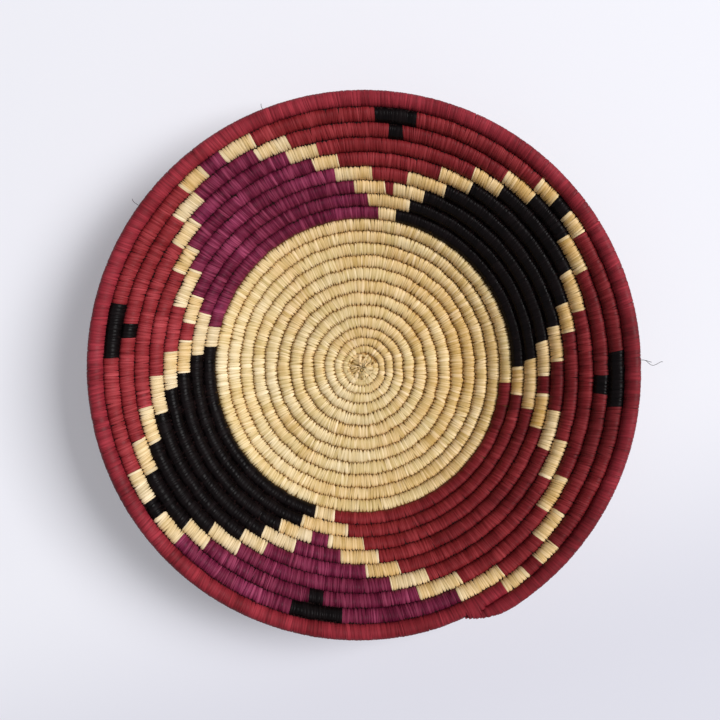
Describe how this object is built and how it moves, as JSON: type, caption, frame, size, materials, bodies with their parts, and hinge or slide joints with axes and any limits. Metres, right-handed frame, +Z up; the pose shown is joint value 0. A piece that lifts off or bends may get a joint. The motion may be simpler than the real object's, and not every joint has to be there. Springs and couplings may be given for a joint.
{
  "type": "coiled basket",
  "caption": "Shallow round coiled basket of grass wrapped in dyed raffia, with a flat base, a flared patterned wall and a wrapped rim, for serving or display.",
  "frame": {"origin": "middle of the basket's box, on the surface that it stands on", "axes": "+Z up out of the basket's mouth; +X to the right and +Y to the top of the basket as it is seen from above, with the red petal at the lower right"},
  "size_m": [0.3032, 0.2972, 0.0536],
  "materials": {
    "grass": "dry grass",
    "straw_raffia": "undyed raffia, low sheen",
    "red_raffia": "dyed raffia, low sheen",
    "purple_raffia": "dyed raffia, streaked, low sheen",
    "black_raffia": "dyed raffia, satin"
  },
  "bodies": {
    "root": {"foundation_coil": "grass", "start_knot": "straw_raffia", "base_wrap": "straw_raffia", "red_petal": "red_raffia", "left_black_petal": "black_raffia", "purple_petal": "purple_raffia", "right_black_petal": "black_raffia", "bottom_outline": "straw_raffia", "left_outline": "straw_raffia", "top_outline": "straw_raffia", "right_outline": "straw_raffia", "bottom_purple_field": "purple_raffia", "left_red_field": "red_raffia", "top_red_field": "red_raffia", "right_red_field": "red_raffia", "bottom_tee": "black_raffia", "left_tee": "black_raffia", "top_tee": "black_raffia", "right_tee": "black_raffia", "rim_wrap": "red_raffia"}
  },
  "joints": []
}
